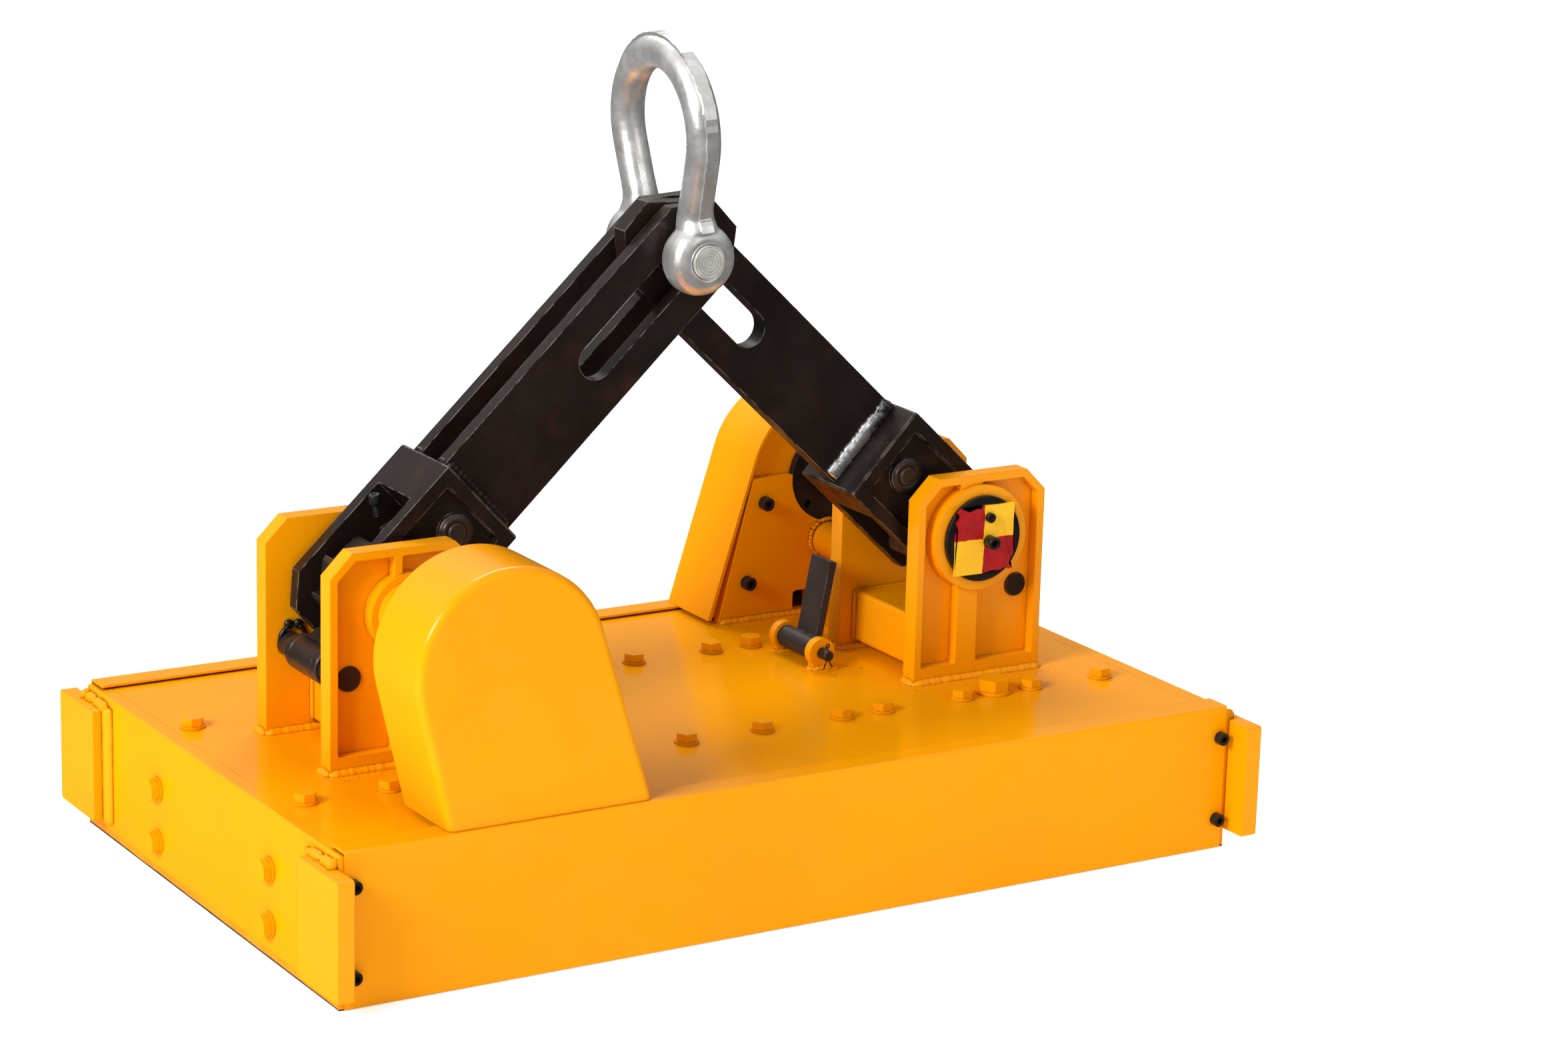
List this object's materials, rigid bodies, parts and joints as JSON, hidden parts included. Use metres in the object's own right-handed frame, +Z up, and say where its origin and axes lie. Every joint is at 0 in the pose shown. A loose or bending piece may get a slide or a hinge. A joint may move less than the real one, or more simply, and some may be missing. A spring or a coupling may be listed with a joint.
{
  "type": "lifting magnet",
  "caption": "Switched permanent lifting magnet: long steel box, two stands with crossed slotted arms and a lifting shackle, ratchets and chain drives that turn the magnets.",
  "frame": {"origin": "middle of the box, on its bottom working face", "axes": "+X along the long front face to the right, +Y to the back, +Z up"},
  "size_m": [1.24, 0.788, 0.9898],
  "materials": {
    "yellow_paint": "gloss orange-yellow enamel over steel",
    "galvanised_steel": "bright zinc coat on a forging",
    "black_steel": "dark scale with worn bright edges",
    "indicator_paint": "hand-painted red and yellow quarters",
    "bronze": "turned bearing bronze",
    "magnet_plating": "nickel plating",
    "black_oxide": "oiled black oxide",
    "bare_steel": "ground steel, darkened",
    "worn_steel": "dark turned steel"
  },
  "bodies": {
    "root": {"bearing_bushes": "bronze", "bearing_plates": "bare_steel", "bolt_washers": "yellow_paint", "bottom_plate": "bare_steel", "centre_magnet_block": "bare_steel", "corner_wings": "yellow_paint", "cover_backplates": "yellow_paint", "cross_pins": "worn_steel", "drive_chains": "worn_steel", "end_plates": "yellow_paint", "front_cover": "yellow_paint", "hex_bolts": "yellow_paint", "left_drive_cover": "yellow_paint", "left_front_cheek": "yellow_paint", "left_mount_plate": "yellow_paint", "left_rear_cheek": "yellow_paint", "lever_lugs": "yellow_paint", "lever_pin": "worn_steel", "outer_bearings": "black_oxide", "pole_blocks": "bare_steel", "rear_cover": "yellow_paint", "right_drive_cover": "yellow_paint", "right_front_cheek": "yellow_paint", "right_mount_plate": "yellow_paint", "right_rear_cheek": "yellow_paint", "socket_screws": "black_oxide", "stand_braces": "yellow_paint", "thrust_collars": "worn_steel", "top_plate": "yellow_paint"},
    "left_shaft": {"left_main_shaft": "worn_steel", "left_ratchet_wheel": "worn_steel", "left_end_disc": "black_oxide", "left_indicator_plate": "indicator_paint", "left_upper_sprocket": "worn_steel"},
    "left_rotor": {"left_rotor_core": "bare_steel", "left_rotor_magnets": "magnet_plating", "left_lower_sprocket": "worn_steel"},
    "left_link": {"left_link_block": "black_steel", "left_front_arm": "black_steel", "left_rear_arm": "black_steel", "left_pawl_pin": "worn_steel"},
    "left_drive_pawl": {"left_drive_pawl": "worn_steel"},
    "left_holding_pawl": {"left_holding_pawl": "worn_steel"},
    "right_link": {"right_link_block": "black_steel", "right_arm": "black_steel", "right_pawl_pin": "worn_steel"},
    "shackle_pin": {"shackle_pin": "worn_steel"},
    "shackle_bow": {"shackle_bow": "galvanised_steel"},
    "lock_lever": {"lock_lever": "black_steel"},
    "right_shaft": {"right_main_shaft": "worn_steel", "right_ratchet_wheel": "worn_steel", "right_end_disc": "black_oxide", "right_indicator_plate": "indicator_paint", "right_upper_sprocket": "worn_steel"},
    "right_rotor": {"right_rotor_core": "bare_steel", "right_rotor_magnets": "magnet_plating", "right_lower_sprocket": "worn_steel"},
    "right_drive_pawl": {"right_drive_pawl": "worn_steel"},
    "right_holding_pawl": {"right_holding_pawl": "worn_steel"}
  },
  "joints": [
    {"name": "left_link_swing", "type": "hinge", "parent": "root", "child": "left_link", "pos_m": [-0.392, 0, 0.358], "axis": [0, 1, 0], "range_deg": [0, 14]},
    {"name": "right_link_swing", "type": "hinge", "parent": "root", "child": "right_link", "pos_m": [0.392, 0, 0.358], "axis": [0, 1, 0], "range_deg": [-14, 0]},
    {"name": "shackle_pin_travel", "type": "slide", "parent": "root", "child": "shackle_pin", "axis": [0, 0, 1], "range_m": [-0.162, 0]},
    {"name": "shackle_bow_swing", "type": "hinge", "parent": "shackle_pin", "child": "shackle_bow", "pos_m": [0, 0, 0.7334], "axis": [0, 1, 0], "range_deg": [-86, 93]},
    {"name": "left_shaft_turn", "type": "hinge", "parent": "root", "child": "left_shaft", "pos_m": [-0.392, 0, 0.358], "axis": [0, 1, 0], "continuous": true},
    {"name": "right_shaft_turn", "type": "hinge", "parent": "root", "child": "right_shaft", "pos_m": [0.392, 0, 0.358], "axis": [0, 1, 0], "continuous": true},
    {"name": "left_rotor_turn", "type": "hinge", "parent": "root", "child": "left_rotor", "pos_m": [-0.338, 0, 0.084], "axis": [0, 1, 0], "continuous": true},
    {"name": "right_rotor_turn", "type": "hinge", "parent": "root", "child": "right_rotor", "pos_m": [0.338, 0, 0.084], "axis": [0, 1, 0], "continuous": true},
    {"name": "left_drive_pawl_lift", "type": "hinge", "parent": "left_link", "child": "left_drive_pawl", "pos_m": [-0.31049, 0, 0.43481], "axis": [0, 1, 0], "range_deg": [0, 10], "stiffness_Nm_per_rad": 3, "springref_deg": -11.46},
    {"name": "right_drive_pawl_lift", "type": "hinge", "parent": "right_link", "child": "right_drive_pawl", "pos_m": [0.31049, 0, 0.43481], "axis": [0, 1, 0], "range_deg": [-10, 0], "stiffness_Nm_per_rad": 3, "springref_deg": 11.46},
    {"name": "left_holding_pawl_lift", "type": "hinge", "parent": "root", "child": "left_holding_pawl", "pos_m": [-0.46, 0, 0.285], "axis": [0, 1, 0], "range_deg": [0, 20], "stiffness_Nm_per_rad": 3, "springref_deg": -11.46},
    {"name": "right_holding_pawl_lift", "type": "hinge", "parent": "root", "child": "right_holding_pawl", "pos_m": [0.46, 0, 0.285], "axis": [0, 1, 0], "range_deg": [-20, 0], "stiffness_Nm_per_rad": 3, "springref_deg": 11.46},
    {"name": "lock_lever_flip", "type": "hinge", "parent": "root", "child": "lock_lever", "pos_m": [0.239, 0.06, 0.198], "axis": [0, 1, 0], "range_deg": [-105, 0]}
  ],
  "couplings": [
    {"joint": "right_link_swing", "follows": "left_link_swing", "ratio": -1},
    {"joint": "shackle_pin_travel", "follows": "left_link_swing", "m_per_rad": -0.663},
    {"joint": "right_shaft_turn", "follows": "left_shaft_turn", "ratio": -1},
    {"joint": "left_rotor_turn", "follows": "left_shaft_turn", "ratio": 2},
    {"joint": "right_rotor_turn", "follows": "left_shaft_turn", "ratio": -2}
  ]
}
